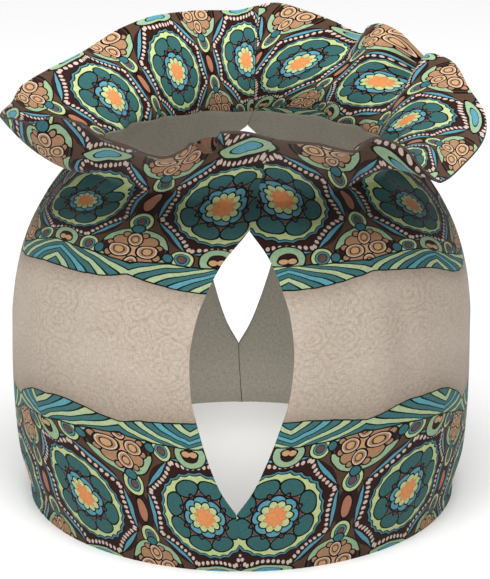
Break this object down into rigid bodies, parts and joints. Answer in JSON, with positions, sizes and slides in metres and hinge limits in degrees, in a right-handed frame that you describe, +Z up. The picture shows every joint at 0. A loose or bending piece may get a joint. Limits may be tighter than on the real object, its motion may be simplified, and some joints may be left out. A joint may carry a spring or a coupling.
{
  "type": "tea cosy",
  "caption": "Cloth tea cosy with a barrel body, an uneven ruffle round its open top and a long slit down the front and the back.",
  "frame": {"origin": "on the floor under the middle of the cosy, on the axis of its body, level with the hem", "axes": "+X to the right as seen from the front slit, +Y from the front slit to the back slit, +Z up"},
  "size_m": [0.1627, 0.1585, 0.1582],
  "materials": {
    "cloth_left": "matte printed cloth, teal medallions on dark brown with a beige band",
    "cloth_right": "matte printed cloth, teal medallions on dark brown with a beige band"
  },
  "bodies": {
    "root": {"panel_left": "cloth_left", "panel_right": "cloth_right"}
  },
  "joints": []
}
